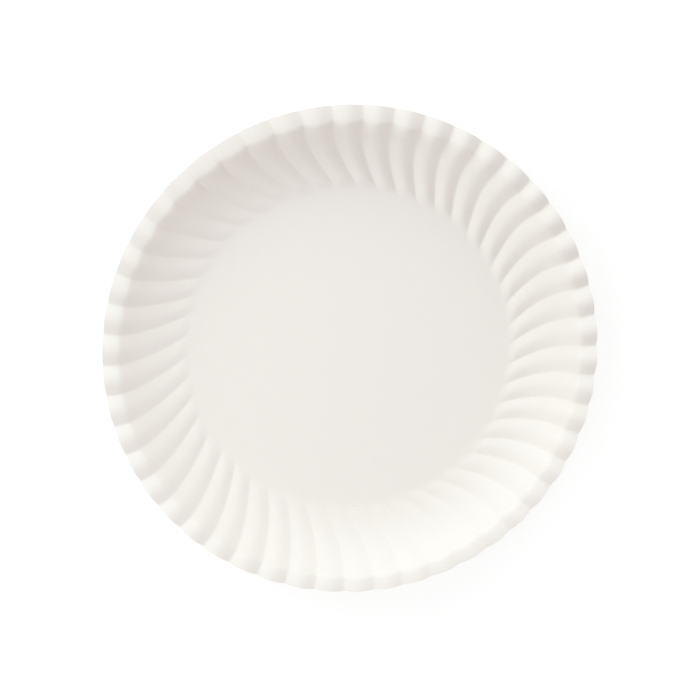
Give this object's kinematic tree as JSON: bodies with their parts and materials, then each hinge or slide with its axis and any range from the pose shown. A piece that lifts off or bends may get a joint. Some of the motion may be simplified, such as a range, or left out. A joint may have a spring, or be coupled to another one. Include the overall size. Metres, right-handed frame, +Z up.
{
  "type": "paper plate",
  "caption": "Round disposable paper plate with a flat floor, a fluted sloping wall whose folds sweep sideways, and a scalloped lip.",
  "frame": {"origin": "centre of the floor's underside, where the plate stands on a table", "axes": "+Z up out of the open dish, along the plate's axis; +X and +Y across it, towards the picture's right and top"},
  "size_m": [0.155, 0.1548, 0.0136],
  "materials": {
    "white_card": "uncoated matt white card"
  },
  "bodies": {
    "root": {"plate": "white_card"}
  },
  "joints": []
}
